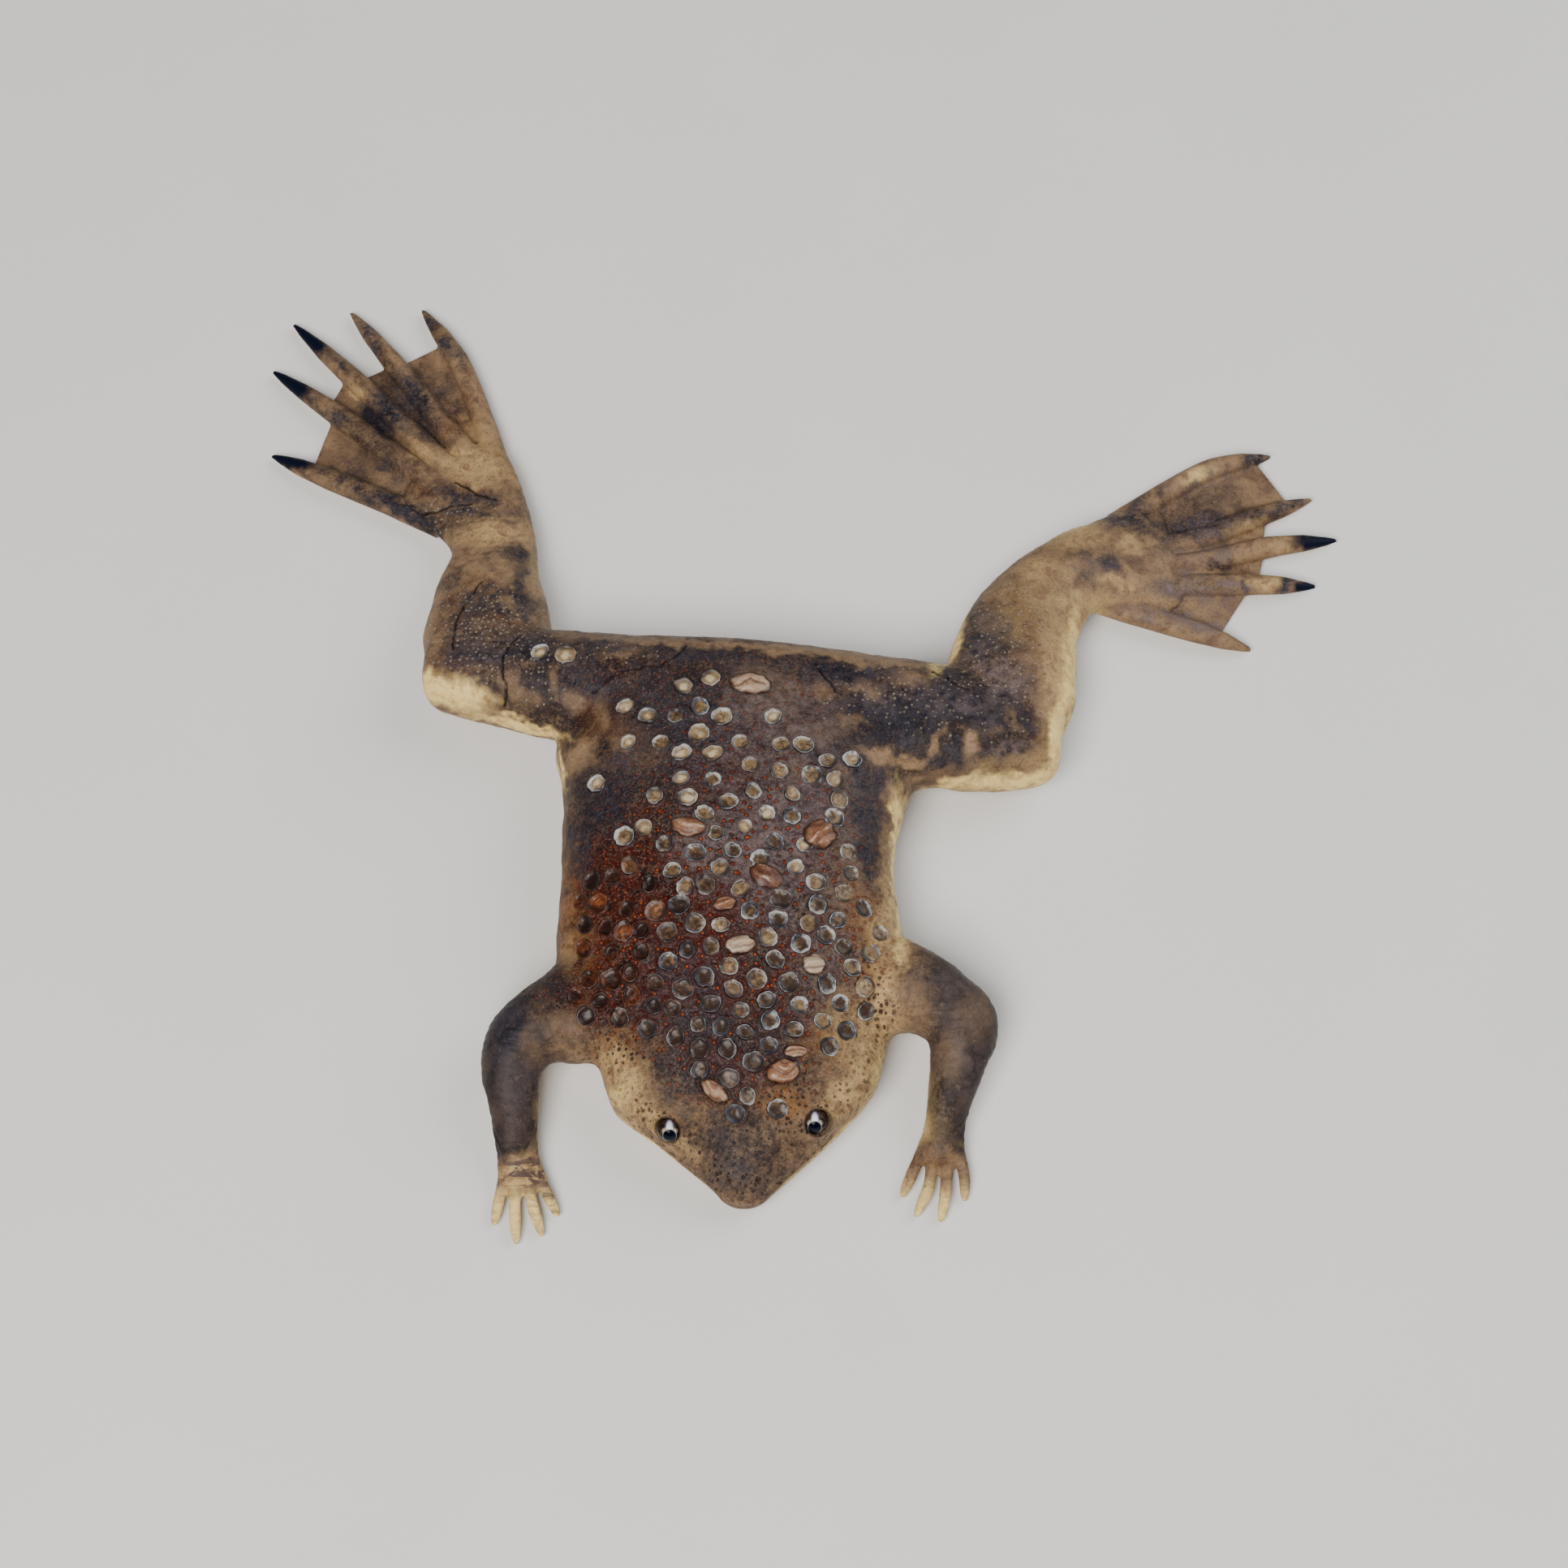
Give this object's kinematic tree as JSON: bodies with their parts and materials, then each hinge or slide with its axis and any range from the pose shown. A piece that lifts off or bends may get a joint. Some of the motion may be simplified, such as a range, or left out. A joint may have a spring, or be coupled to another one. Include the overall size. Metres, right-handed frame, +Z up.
{
  "type": "surinam toad model",
  "caption": "Still life-size museum model of a female Surinam toad lying flat, with brood pits over its back, webbed hind feet and slender fingers.",
  "frame": {"origin": "on the floor, under the middle of the model's overall box", "axes": "+Z up; the head points along -Y and the animal's left side is +X"},
  "size_m": [0.2828, 0.264, 0.0322],
  "materials": {
    "back_skin": "moist, mottled red-brown and slate",
    "head_skin": "moist, tan with dark specks",
    "limb_skin": "moist, blotched dark brown over tan",
    "digit_skin": "moist, tan to cream with dark bands",
    "eye": "wet gloss"
  },
  "bodies": {
    "root": {"head": "head_skin", "torso": "back_skin", "upper_arm_right": "limb_skin", "upper_arm_left": "limb_skin", "forearm_right": "limb_skin", "forearm_left": "limb_skin", "hand_right": "digit_skin", "hand_left": "digit_skin", "thigh_right": "limb_skin", "thigh_left": "limb_skin", "shank_right": "limb_skin", "shank_left": "limb_skin", "foot_right": "digit_skin", "foot_left": "digit_skin", "eye_right": "eye", "eye_left": "eye"}
  },
  "joints": []
}
